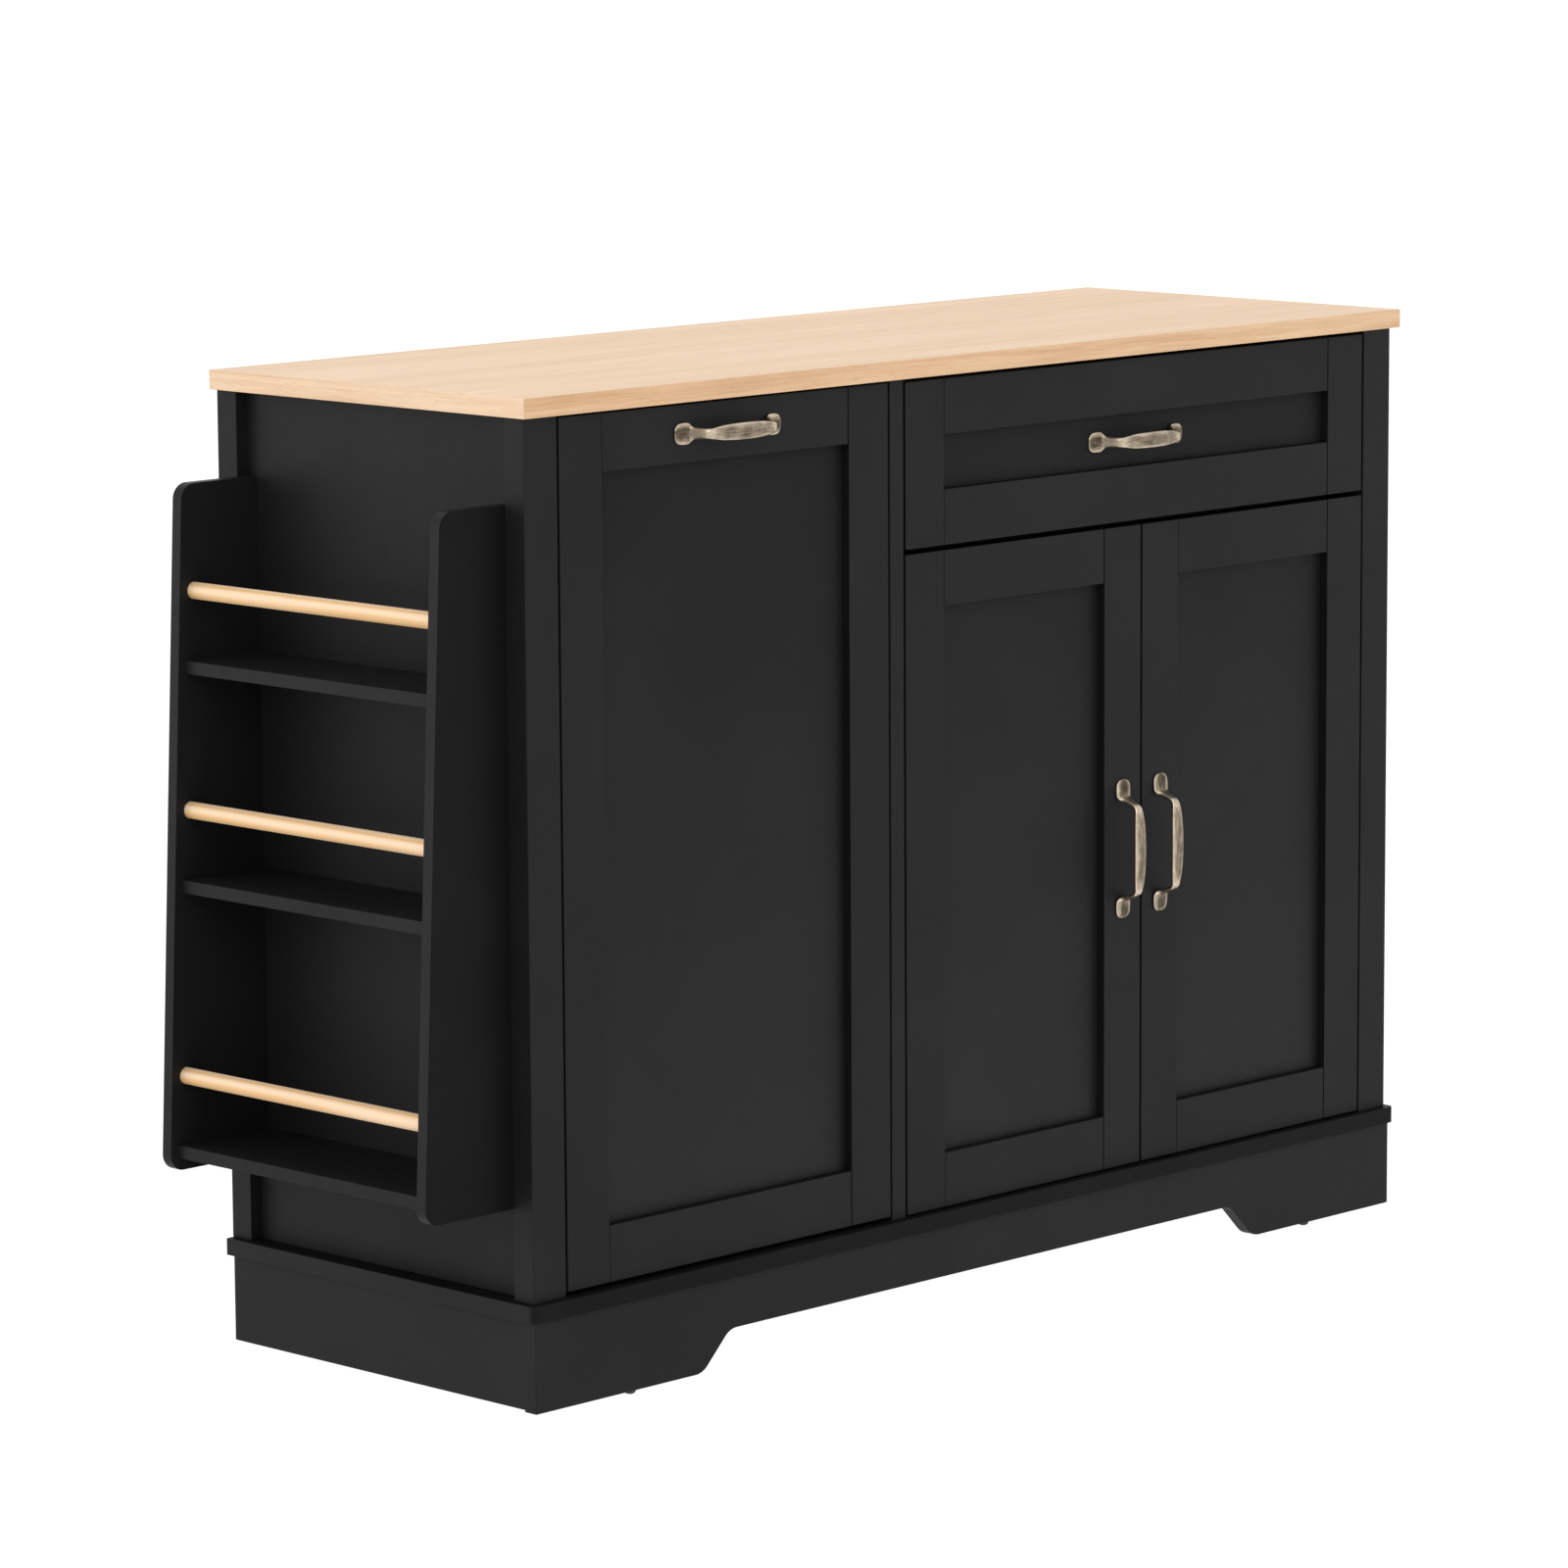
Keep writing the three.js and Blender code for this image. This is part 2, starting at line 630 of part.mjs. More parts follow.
// Origin: the middle of the bounding box's underside
const bounds = new THREE.Box3().setFromObject(island);
const centre = bounds.getCenter(new THREE.Vector3());
island.position.set(-centre.x, -centre.y, -bounds.min.z);
island.updateMatrixWorld(true);

export default island;
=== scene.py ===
import json
import math
import bmesh
import bpy
from mathutils import Matrix, Vector


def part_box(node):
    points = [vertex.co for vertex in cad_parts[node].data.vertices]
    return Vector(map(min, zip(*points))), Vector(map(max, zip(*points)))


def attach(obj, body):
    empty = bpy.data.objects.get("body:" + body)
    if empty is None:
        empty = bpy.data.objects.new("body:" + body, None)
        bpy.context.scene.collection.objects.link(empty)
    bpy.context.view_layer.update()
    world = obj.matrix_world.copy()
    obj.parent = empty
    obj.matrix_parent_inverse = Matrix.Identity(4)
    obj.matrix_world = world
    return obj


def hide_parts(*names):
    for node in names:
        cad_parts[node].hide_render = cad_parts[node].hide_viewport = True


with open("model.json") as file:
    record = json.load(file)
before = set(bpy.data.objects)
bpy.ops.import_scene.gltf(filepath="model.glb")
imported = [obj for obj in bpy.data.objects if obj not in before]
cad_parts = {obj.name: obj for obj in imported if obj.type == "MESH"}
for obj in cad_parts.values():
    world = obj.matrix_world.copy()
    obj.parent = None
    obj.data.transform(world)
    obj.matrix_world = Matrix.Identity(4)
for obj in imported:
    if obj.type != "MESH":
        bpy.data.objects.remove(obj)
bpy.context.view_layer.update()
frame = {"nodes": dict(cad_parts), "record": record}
bodyOf = {node: body for body, nodes in frame["record"]["behaviour"]["bodies"].items() for node in nodes}
scene = bpy.context.scene
samePlace = 1e-5         # points nearer than this are one point
usualNoise = (0.3, 0.7)  # the values that most of a noise pattern lies between
print("frame loaded:", len(frame["nodes"]), "nodes")

cameraSetup = {
    "place": (-4.53584, -4.40839, 1.47856),
    "turn": 45.64,       # degrees to the right of straight in from the front
    "down": 8.90,        # degrees below level
    "roll": -0.35,
    "lens": 153.83,
    "sensor": 36.0,
    "farthest": 200.0,
}


def placeCamera(setup):
    turn, down, roll = (math.radians(setup[key]) for key in ("turn", "down", "roll"))
    ahead = Vector((math.sin(turn) * math.cos(down), math.cos(turn) * math.cos(down), -math.sin(down)))
    right = Vector((math.cos(turn), -math.sin(turn), 0))
    up = right.cross(ahead)
    rolledRight = right * math.cos(roll) + up * math.sin(roll)
    rolledUp = up * math.cos(roll) - right * math.sin(roll)
    data = bpy.data.cameras.new("camera")
    data.lens = setup["lens"]
    data.sensor_width = setup["sensor"]
    data.clip_end = setup["farthest"]
    camera = bpy.data.objects.new("camera", data)
    camera.matrix_world = Matrix((rolledRight, rolledUp, -ahead)).transposed().to_4x4()
    camera.location = setup["place"]
    scene.collection.objects.link(camera)
    scene.camera = camera


placeCamera(cameraSetup)


def addNode(material, kind, values=None, **settings):
    node = material.node_tree.nodes.new(kind)
    for key, value in settings.items():
        setattr(node, key, value)
    for key, value in (values or {}).items():
        node.inputs[key].default_value = value
    return node


def joinSockets(material, *pairs):
    for start, end in pairs:
        material.node_tree.links.new(start, end)


def newMaterial(name, **values):
    material = bpy.data.materials.new(name)
    material.use_nodes = True
    shader = material.node_tree.nodes["Principled BSDF"]
    for key, value in values.items():
        shader.inputs[key.replace("_", " ")].default_value = value
    return material, shader


def stretchedNoise(material, stretch, detail=3.0, roughness=0.5, distortion=0.0, shift=(0, 0, 0)):
    # stretch gives how many features there are to a metre along each axis
    place = addNode(material, "ShaderNodeTexCoord")
    mapping = addNode(material, "ShaderNodeMapping", {"Scale": stretch, "Location": shift})
    noise = addNode(material, "ShaderNodeTexNoise",
                    {"Scale": 1.0, "Detail": detail, "Roughness": roughness, "Distortion": distortion})
    joinSockets(material, (place.outputs["Object"], mapping.inputs["Vector"]),
                (mapping.outputs["Vector"], noise.inputs["Vector"]))
    return noise.outputs["Fac"]


def evenNoise(material, features, detail=3.0, roughness=0.5):
    return stretchedNoise(material, (features, features, features), detail=detail, roughness=roughness)


def rampColours(material, source, stops):
    ramp = addNode(material, "ShaderNodeValToRGB")
    elements = ramp.color_ramp.elements
    while len(elements) < len(stops):
        elements.new(0.5)
    for element, (place, colour) in zip(elements, stops):
        element.position = place
        element.color = (*colour, 1)
    joinSockets(material, (source, ramp.inputs["Fac"]))
    return ramp.outputs["Color"]


def rampRange(material, source, fromRange, toRange):
    node = addNode(material, "ShaderNodeMapRange", {
        "From Min": fromRange[0], "From Max": fromRange[1], "To Min": toRange[0], "To Max": toRange[1]})
    joinSockets(material, (source, node.inputs["Value"]))
    return node.outputs["Result"]


def fillSockets(material, *pairs):
    for socket, value in pairs:
        if isinstance(value, bpy.types.NodeSocket):
            joinSockets(material, (value, socket))
        else:
            socket.default_value = value


def multiplyColours(material, share, first, second):
    node = addNode(material, "ShaderNodeMix", data_type="RGBA", blend_type="MULTIPLY")
    fillSockets(material, (node.inputs[0], share), (node.inputs[6], first), (node.inputs[7], second))
    return node.outputs[2]


def mathNode(material, operation, first, second):
    node = addNode(material, "ShaderNodeMath", operation=operation)
    fillSockets(material, (node.inputs[0], first), (node.inputs[1], second))
    return node.outputs[0]


def weightedSum(material, *parts):
    total, *others = (mathNode(material, "MULTIPLY", source, share) for source, share in parts)
    for other in others:
        total = mathNode(material, "ADD", total, other)
    return total


def bumpFrom(material, shader, source, strength, distance):
    bump = addNode(material, "ShaderNodeBump", {"Strength": strength, "Distance": distance})
    joinSockets(material, (source, bump.inputs["Height"]), (bump.outputs["Normal"], shader.inputs["Normal"]))


studio = {
    "floorColour": (0.12, 0.12, 0.12, 1),
    "floorRoughness": 0.9,
    "floorGloss": 0.1,
    "floorGlow": 1.0,
    "floorSide": 120.0,
    "floorDrop": 0.0003,     # how far it lies below the feet
    "worldColour": (1.0, 1.0, 1.0, 1),
    "worldStrength": 1.1,
    "lights": [
        # name, place, aimed at, width, height, watts
        ("softboxLeft", (-5.0, 3.6, 1.5), (-0.6, 0.0, 0.3), 5.0, 2.8, 60),
        ("softboxFront", (-3.0, -2.2, 2.4), (-0.4, 0.0, 0.5), 1.8, 1.8, 22),
    ],
}


def buildStudio(setup):
    bm = bmesh.new()
    bmesh.ops.create_grid(bm, x_segments=1, y_segments=1, size=setup["floorSide"] / 2)
    mesh = bpy.data.meshes.new("floor")
    bm.to_mesh(mesh)
    bm.free()
    floor = bpy.data.objects.new("floor", mesh)
    floor.location.z = -setup["floorDrop"]
    scene.collection.objects.link(floor)
    material, _ = newMaterial("floorPaper", Base_Color=setup["floorColour"], Roughness=setup["floorRoughness"],
                              Specular_IOR_Level=setup["floorGloss"], Emission_Color=(1, 1, 1, 1),
                              Emission_Strength=setup["floorGlow"])
    mesh.materials.append(material)
    world = bpy.data.worlds.new("studioWorld")
    world.use_nodes = True
    background = world.node_tree.nodes["Background"]
    background.inputs["Color"].default_value = setup["worldColour"]
    background.inputs["Strength"].default_value = setup["worldStrength"]
    scene.world = world
    for name, place, target, width, height, watts in setup["lights"]:
        data = bpy.data.lights.new(name, "AREA")
        data.shape = "RECTANGLE"
        data.size, data.size_y, data.energy = width, height, watts
        light = bpy.data.objects.new(name, data)
        light.location = place
        light.rotation_mode = "QUATERNION"
        light.rotation_quaternion = (Vector(target) - Vector(place)).to_track_quat("-Z", "Y")
        light.visible_camera = False
        scene.collection.objects.link(light)
    scene.view_settings.view_transform = "Standard"


buildStudio(studio)
print("camera, floor and light placed")


blackLook = {
    "tones": (0.0064, 0.0082),     # base colour where it is darkest and palest
    "blue": 1.015,                 # blue as a share of red and green
    "cloudy": 7,                   # features to a metre
    "sprayed": 90,
    "orangePeel": 650,
    "roughness": (0.42, 0.50),
    "paintedShadeHeights": (0.1, 0.85),   # heights between which the gloss changes, painting shade: lighter low down, darker towards the top
}


def makeBlackPaint(name, setup, gloss, topGlossForPaintedShade=None, shade=1.0):
    # the gloss at worktop height, when the gloss changes with height: painted shade, the lower part lighter and
    # the upper part darker
    material, shader = newMaterial(name, Specular_IOR_Level=gloss)
    if topGlossForPaintedShade is not None:
        place = addNode(material, "ShaderNodeTexCoord")
        axes = addNode(material, "ShaderNodeSeparateXYZ")
        joinSockets(material, (place.outputs["Object"], axes.inputs["Vector"]))
        glossWithPaintedShade = rampRange(material, axes.outputs["Z"], setup["paintedShadeHeights"], (gloss, topGlossForPaintedShade))
        joinSockets(material, (glossWithPaintedShade, shader.inputs["Specular IOR Level"]))
    tones = [(shade * tone, shade * tone, shade * tone * setup["blue"]) for tone in setup["tones"]]
    colour = rampColours(material, evenNoise(material, setup["cloudy"], detail=2), list(zip(usualNoise, tones)))
    sprayed = evenNoise(material, setup["sprayed"], detail=4)
    roughness = rampRange(material, sprayed, usualNoise, setup["roughness"])
    joinSockets(material, (colour, shader.inputs["Base Color"]), (roughness, shader.inputs["Roughness"]))
    orangePeel = evenNoise(material, setup["orangePeel"], detail=2)
    bumpFrom(material, shader, orangePeel, strength=0.12, distance=0.00008)
    return material


oakLook = {
    # length and width of what the grain is made of
    "broad": (0.9, 0.05),
    "streaks": (0.22, 0.007),
    "fine": (0.05, 0.0016),
    "pores": (0.016, 0.0011),
    "shares": (0.3, 0.45, 0.25),   # of broad, streaks and fine in the figure
    "spread": 0.16,                # of the figure, from dark to pale, on each side of its middle
    "poreRange": (0.62, 0.72),
    "poreDepth": 0.35,
    "poreTint": (0.80, 0.68, 0.55, 1),
    "gloss": 0.3,
    "roughness": (0.46, 0.56),
}


def makeOak(name, setup, along, pale, dark, contrast):
    # along is the axis the grain runs in, 0 for X and 1 for Y
    material, shader = newMaterial(name, Specular_IOR_Level=setup["gloss"])

    def grain(part, **settings):
        length, width = setup[part]
        stretch = tuple(1 / (length if axis == along else width) for axis in range(3))
        return stretchedNoise(material, stretch, **settings)

    broad = grain("broad", detail=2, distortion=0.6)
    streaks = grain("streaks", detail=4, roughness=0.6)
    fine = grain("fine", detail=3, roughness=0.6, shift=(3, 5, 7))
    figure = weightedSum(material, *zip((broad, streaks, fine), setup["shares"]))
    spread = setup["spread"] / contrast
    colour = rampColours(material, figure, [(0.5 - spread, dark), (0.5 + spread, pale)])
    pores = grain("pores", detail=1, shift=(1, 2, 3))
    poreShare = rampRange(material, pores, setup["poreRange"], (0.0, setup["poreDepth"] * contrast))
    colour = multiplyColours(material, poreShare, colour, setup["poreTint"])
    joinSockets(material, (colour, shader.inputs["Base Color"]))
    roughness = rampRange(material, fine, usualNoise, setup["roughness"])
    joinSockets(material, (roughness, shader.inputs["Roughness"]))
    bumpFrom(material, shader, fine, strength=0.12, distance=0.00015)
    return material


pineLook = {
    "stretch": (1, 0.07, 1),
    "lean": (0.0, 0.5, 0.0),
    "rings": {"Scale": 42.0, "Distortion": 5.0, "Detail": 1.5, "Detail Scale": 0.7},
    "fibres": (900, 16, 900),
    "shares": (0.8, 0.25),         # of rings and fibres in the figure
    "stops": [
        (0.1, (0.77, 0.57, 0.385)), (0.55, (0.74, 0.52, 0.325)),
        (0.85, (0.67, 0.43, 0.21)), (1.0, (0.62, 0.37, 0.16)),
    ],
    "gloss": 0.3,
    "roughness": 0.55,
}


def makePine(setup):
    material, shader = newMaterial("pineDowel", Roughness=setup["roughness"], Specular_IOR_Level=setup["gloss"])
    place = addNode(material, "ShaderNodeTexCoord")
    mapping = addNode(material, "ShaderNodeMapping", {"Scale": setup["stretch"], "Rotation": setup["lean"]})
    rings = addNode(material, "ShaderNodeTexWave", setup["rings"], wave_type="BANDS", bands_direction="X")
    joinSockets(material, (place.outputs["Object"], mapping.inputs["Vector"]),
                (mapping.outputs["Vector"], rings.inputs["Vector"]))
    fibres = stretchedNoise(material, setup["fibres"])
    figure = weightedSum(material, *zip((rings.outputs["Fac"], fibres), setup["shares"]))
    joinSockets(material, (rampColours(material, figure, setup["stops"]), shader.inputs["Base Color"]))
    bumpFrom(material, shader, fibres, strength=0.15, distance=0.0002)
    return material


brassLook = {
    "blotches": 110,
    "shares": (0.4, 0.6, 0.34),    # of blotches, brushing and rubbed edges in the tone
    "stops": [
        (0.20, (0.045, 0.034, 0.022)), (0.36, (0.12, 0.092, 0.062)), (0.48, (0.22, 0.18, 0.13)),
        (0.60, (0.33, 0.27, 0.20)), (0.88, (0.66, 0.55, 0.42)),
    ],
    "toneRange": (0.35, 0.75),
    "roughness": (0.46, 0.27),
}


def makeBrass(name, setup, stretch):
    material, shader = newMaterial(name, Metallic=1.0)
    blotches = evenNoise(material, setup["blotches"], detail=3, roughness=0.6)
    brushed = stretchedNoise(material, stretch)
    rubbed = addNode(material, "ShaderNodeAttribute", attribute_name="rubbed").outputs["Fac"]
    tone = weightedSum(material, *zip((blotches, brushed, rubbed), setup["shares"]))
    roughness = rampRange(material, tone, setup["toneRange"], setup["roughness"])
    joinSockets(material, (rampColours(material, tone, setup["stops"]), shader.inputs["Base Color"]),
                (roughness, shader.inputs["Roughness"]))
    bumpFrom(material, shader, brushed, strength=0.2, distance=0.00012)
    return material


zincLook = {
    "blotches": 140,
    "tones": ((0.50, 0.51, 0.53), (0.68, 0.69, 0.71)),
    "rolled": (900, 25, 900),
    "roughness": (0.24, 0.38),
}


def makeZinc(setup):
    material, shader = newMaterial("zincSteel", Metallic=1.0)
    blotches = evenNoise(material, setup["blotches"], detail=4)
    colour = rampColours(material, blotches, list(zip(usualNoise, setup["tones"])))
    rolled = stretchedNoise(material, setup["rolled"], detail=2)
    roughness = rampRange(material, rolled, usualNoise, setup["roughness"])
    joinSockets(material, (colour, shader.inputs["Base Color"]), (roughness, shader.inputs["Roughness"]))
    bumpFrom(material, shader, rolled, strength=0.1, distance=0.0001)
    return material


nylonLook = {
    "mottled": 300,
    "tones": ((0.020, 0.020, 0.021), (0.032, 0.032, 0.033)),
    "roughness": (0.5, 0.65),
}


def makeNylon(setup):
    material, shader = newMaterial("mouldedNylon")
    mottled = evenNoise(material, setup["mottled"])
    colour = rampColours(material, mottled, list(zip(usualNoise, setup["tones"])))
    roughness = rampRange(material, mottled, usualNoise, setup["roughness"])
    joinSockets(material, (colour, shader.inputs["Base Color"]), (roughness, shader.inputs["Roughness"]))
    bumpFrom(material, shader, mottled, strength=0.15, distance=0.0002)
    return material


blackPaint = makeBlackPaint("blackPaint", blackLook, gloss=0.105, shade=1.4)
# the panels' paint reflects less towards the top: painted shade, lighter low down and darker higher up
panelBlackWithPaintedShade = makeBlackPaint("panelBlackWithPaintedShade", blackLook, gloss=0.155, topGlossForPaintedShade=0.068, shade=1.4)
# a darker, less glossy copy of the black paint, put on faces in the gaps, recesses and shade: painted shade
shadedBlackPaint = makeBlackPaint("shadedBlackPaint", blackLook, gloss=0.042)
oakTop = makeOak("oakTop", oakLook, along=0, pale=(0.76, 0.56, 0.385), dark=(0.655, 0.45, 0.28), contrast=1.3)
oakFrontBand = makeOak("oakFrontBand", oakLook, along=0, pale=(0.69, 0.47, 0.29), dark=(0.54, 0.32, 0.165),
                       contrast=1.5)
oakEndBand = makeOak("oakEndBand", oakLook, along=1, pale=(0.72, 0.54, 0.38), dark=(0.60, 0.40, 0.24),
                     contrast=1.5)
pine = makePine(pineLook)
brassAlong = makeBrass("brassAlong", brassLook, (40, 900, 900))
brassUpright = makeBrass("brassUpright", brassLook, (900, 900, 40))
zincSteel = makeZinc(zincLook)
nylon = makeNylon(nylonLook)
print("finishes made")


def finishPiece(name, bm, material, body, replaced=(), smoothAngle=16):
    bmesh.ops.recalc_face_normals(bm, faces=bm.faces)
    mesh = bpy.data.meshes.new(name)
    bm.to_mesh(mesh)
    bm.free()
    mesh.shade_smooth()
    mesh.set_sharp_from_angle(angle=math.radians(smoothAngle))
    mesh.materials.append(material)
    piece = bpy.data.objects.new(name, mesh)
    scene.collection.objects.link(piece)
    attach(piece, body)
    if replaced:
        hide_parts(*replaced)
    return piece


# puts the darker copy of the paint on the chosen faces as painted shade
def paintShadeOnFaces(piece, isShaded):
    piece.data.materials.append(shadedBlackPaint)
    for polygon in piece.data.polygons:
        polygon.material_index = 1 if isShaded(polygon.normal) else 0


def easeEdges(bm, amount, segments=2, edges=None):
    chosen = bm.edges if edges is None else edges
    bmesh.ops.bevel(bm, geom=list(chosen), offset=amount, offset_type="OFFSET", segments=segments,
                    profile=0.5, affect="EDGES", material=-1, clamp_overlap=True)


def sharpEdges(bm, degrees=25):
    limit = math.radians(degrees)
    return [edge for edge in bm.edges if len(edge.link_faces) == 2 and edge.calc_face_angle() > limit]


def nearAll(edge, axis, value):
    return all(abs(vert.co[axis] - value) < samePlace for vert in edge.verts)


def boardBetween(low, high, ease):
    low, high = Vector(low), Vector(high)
    bm = bmesh.new()
    bmesh.ops.create_cube(bm, size=1)
    bmesh.ops.scale(bm, vec=high - low, verts=bm.verts)
    bmesh.ops.translate(bm, vec=(low + high) / 2, verts=bm.verts)
    if ease:
        easeEdges(bm, ease)
    return bm


def easedCopy(node, ease):
    bm = bmesh.new()
    bm.from_mesh(frame["nodes"][node].data)
    bmesh.ops.remove_doubles(bm, verts=bm.verts, dist=samePlace)
    bmesh.ops.dissolve_limit(bm, angle_limit=math.radians(1), verts=bm.verts, edges=bm.edges)
    easeEdges(bm, ease, edges=sharpEdges(bm))
    return bm


def roundBar(low, high, axis, segments):
    # a bar that fills the box between two corners, lying along one axis
    size = high - low
    radius = min(size[other] for other in range(3) if other != axis) / 2
    bm = bmesh.new()
    bmesh.ops.create_cone(bm, cap_ends=True, segments=segments, radius1=radius, radius2=radius,
                          depth=size[axis])
    if axis != 2:
        turn = Matrix.Rotation(math.radians(90), 3, "Y" if axis == 0 else "X")
        bmesh.ops.rotate(bm, cent=(0, 0, 0), matrix=turn, verts=bm.verts)
    bmesh.ops.translate(bm, vec=(low + high) / 2, verts=bm.verts)
    return bm


paintedBoards = {
    "ease": 0.0005,
    "skirtEase": 0.0007,
    "shaker": ("bin_door", "drawer_front", "cupboard_door_left", "cupboard_door_right"),
    # faces given the darker paint: the base board's top, as painted shade, and its front face, made darker as
    # well; the front face of the rack's front side, as painted shade
    "shadedFaces": {
        "base_board": lambda normal: normal.y < -0.5 or normal.z > 0.5,
        "rack_side_front": lambda normal: normal.y < -0.5,
    },
}


def buildPaintedBoards(setup):
    for row in frame["record"]["subparts"]:
        node = row["node"]
        if row["material_slot"] != "black_paint" or node in setup["shaker"]:
            continue
        ease = setup["skirtEase"] if node.startswith("skirt") else setup["ease"]
        piece = finishPiece(node + "_board", easedCopy(node, ease), blackPaint, bodyOf[node], [node])
        # the chosen faces of these boards get the darker paint, mostly painted shade
        if node in setup["shadedFaces"]:
            paintShadeOnFaces(piece, setup["shadedFaces"][node])


buildPaintedBoards(paintedBoards)
print("painted boards made")


# a framed front is two full-height stiles, two rails between them and a panel set back
shakerFront = {
    "frame": 0.052,
    "recess": 0.009,
    "ease": 0.0004,
    "jointEase": 0.0011,     # the V between a rail and a stile
    "jointGap": 0.00025,
    "panelEase": 0.00025,
}


def facesSideways(normal):
    return abs(normal.y) < 0.5


def buildShakerFront(node, setup):
    low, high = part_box(node)
    wide, back = setup["frame"], low.y + setup["recess"]
    inLeft, inRight = low.x + wide, high.x - wide
    inLow, inHigh = low.z + wide, high.z - wide
    for side, start, end in (("left", low.x, inLeft), ("right", inRight, high.x)):
        bm = boardBetween((start, low.y, low.z), (end, high.y, high.z), setup["ease"])
        stile = finishPiece(f"{node}_stile_{side}", bm, blackPaint, bodyOf[node], [node])
        # the stile's sides, in the gaps and along the panel's recess, get painted shade
        paintShadeOnFaces(stile, facesSideways)
    left, right = inLeft + setup["jointGap"], inRight - setup["jointGap"]
    for level, start, end in (("lower", low.z, inLow), ("upper", inHigh, high.z)):
        bm = boardBetween((left, low.y, start), (right, high.y, end), 0)
        joints = [edge for edge in bm.edges
                  if nearAll(edge, 1, low.y) and (nearAll(edge, 0, left) or nearAll(edge, 0, right))]
        easeEdges(bm, setup["jointEase"], segments=1, edges=joints)
        long = [edge for edge in bm.edges if abs((edge.verts[0].co - edge.verts[1].co).x) > wide]
        easeEdges(bm, setup["ease"], edges=long)
        rail = finishPiece(f"{node}_rail_{level}", bm, blackPaint, bodyOf[node], [node])
        # the rail's edges, in the gaps and along the panel's recess, get painted shade
        paintShadeOnFaces(rail, facesSideways)
    panel = boardBetween((inLeft, back, inLow), (inRight, high.y, inHigh), setup["panelEase"])
    # the panel gets the paint with painted shade, darker towards the top
    finishPiece(node + "_panel", panel, panelBlackWithPaintedShade, bodyOf[node], [node])


for frontNode in paintedBoards["shaker"]:
    buildShakerFront(frontNode, shakerFront)
print("framed fronts made")


worktop = {
    "ease": 0.0005,
    "upright": 0.8,          # a face whose normal lies this far along Y or X is on an edge band
}


def buildWorktop(setup):
    low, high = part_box("worktop")
    bm = boardBetween(low, high, setup["ease"])
    for face in bm.faces:
        onFront, onEnd = (abs(part) > setup["upright"] for part in (face.normal.y, face.normal.x))
        face.material_index = 1 if onFront else 2 if onEnd else 0
    piece = finishPiece("worktop_board", bm, oakTop, "cabinet", ["worktop"])
    piece.data.materials.append(oakFrontBand)
    piece.data.materials.append(oakEndBand)


buildWorktop(worktop)
print("worktop made")


rails = {"segments": 64, "ease": 0.0005}


def buildRails(setup):
    for level in ("lower", "middle", "upper"):
        node = f"rack_rail_{level}"
        low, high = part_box(node)
        bm = roundBar(low, high, 1, setup["segments"])
        easeEdges(bm, setup["ease"], edges=sharpEdges(bm))
        finishPiece(node + "_dowel", bm, pine, bodyOf[node], [node])


buildRails(rails)
print("rails made")


# a handle is one strip of metal with a spoon foot at each end and a bevelled grip
handle = {
    "sides": 12,
    # distance from the middle, distance out from the face, half width, half thickness, share of it at
    # the edge, and how rubbed its middle is
    "sections": [
        (0.0690, 0.0007, 0.0028, 0.0006, 0.60, 0.5),
        (0.0686, 0.0008, 0.0048, 0.0008, 0.60, 0.0),
        (0.0676, 0.0010, 0.0068, 0.0010, 0.55, -0.3),
        (0.0660, 0.0012, 0.0084, 0.0012, 0.50, -0.5),
        (0.0634, 0.0014, 0.0095, 0.0014, 0.45, -0.6),
        (0.0590, 0.0016, 0.0100, 0.0016, 0.42, -0.5),
        (0.0535, 0.0017, 0.0099, 0.0017, 0.45, -0.3),
        (0.0518, 0.0020, 0.0094, 0.0019, 0.50, 0.0),
        (0.0506, 0.0027, 0.0080, 0.0022, 0.60, 0.4),
        (0.0496, 0.0042, 0.0064, 0.0024, 0.66, 0.5),
        (0.0484, 0.0070, 0.0054, 0.0024, 0.70, 0.4),
        (0.0468, 0.0112, 0.0050, 0.0023, 0.70, 0.3),
        (0.0452, 0.0153, 0.0047, 0.0022, 0.70, 0.3),
        (0.0438, 0.0183, 0.0046, 0.0021, 0.68, 0.6),
        (0.0420, 0.0203, 0.0046, 0.0020, 0.64, 0.8),
        (0.0396, 0.0213, 0.0049, 0.0019, 0.58, 0.8),
        (0.0350, 0.0221, 0.0058, 0.0019, 0.50, 0.4),
        (0.0270, 0.0230, 0.0069, 0.0020, 0.44, 0.0),
        (0.0150, 0.0237, 0.0075, 0.0020, 0.40, -0.1),
        (0.0000, 0.0240, 0.0077, 0.0020, 0.38, -0.1),
    ],
    "crown": 0.70,           # flat part of the outer face, as a share of its width
    "crownRub": 0.25,
    "edgeDrop": 0.3,         # how far the outer edge is rolled back, in half thicknesses
    "backEdge": 0.75,        # where the back's bevel begins, in half thicknesses
    "backFlat": 0.85,        # flat part of the back, as a share of its width
    "crease": 0.4,
    "creaseRub": 0.95,       # edges between points rubbed more than this are creased
    "levels": 2,
}


def handleRing(verts, section, along, slope, setup, rubbed):
    _, out, halfWidth, halfThick, edgeShare, middleRub = section
    crown, flat = halfWidth * setup["crown"], halfWidth * setup["backFlat"]
    rim, heel = halfThick * edgeShare - halfThick * setup["edgeDrop"], -halfThick * setup["backEdge"]
    corners = [
        (-halfWidth, rim), (-crown, halfThick), (-crown / 2, halfThick), (0.0, halfThick),
        (crown / 2, halfThick), (crown, halfThick), (halfWidth, rim),
        (halfWidth, heel), (flat, -halfThick), (0.0, -halfThick), (-flat, -halfThick), (-halfWidth, heel),
    ]
    for index, (vert, (across, lift)) in enumerate(zip(verts, corners)):
        vert.co = (along - lift * math.sin(slope), -(out + lift * math.cos(slope)), across)
        rub = 1.0 if index in (0, 6) else setup["crownRub"] if index in (1, 5) else middleRub
        vert[rubbed] = max(rub, middleRub)


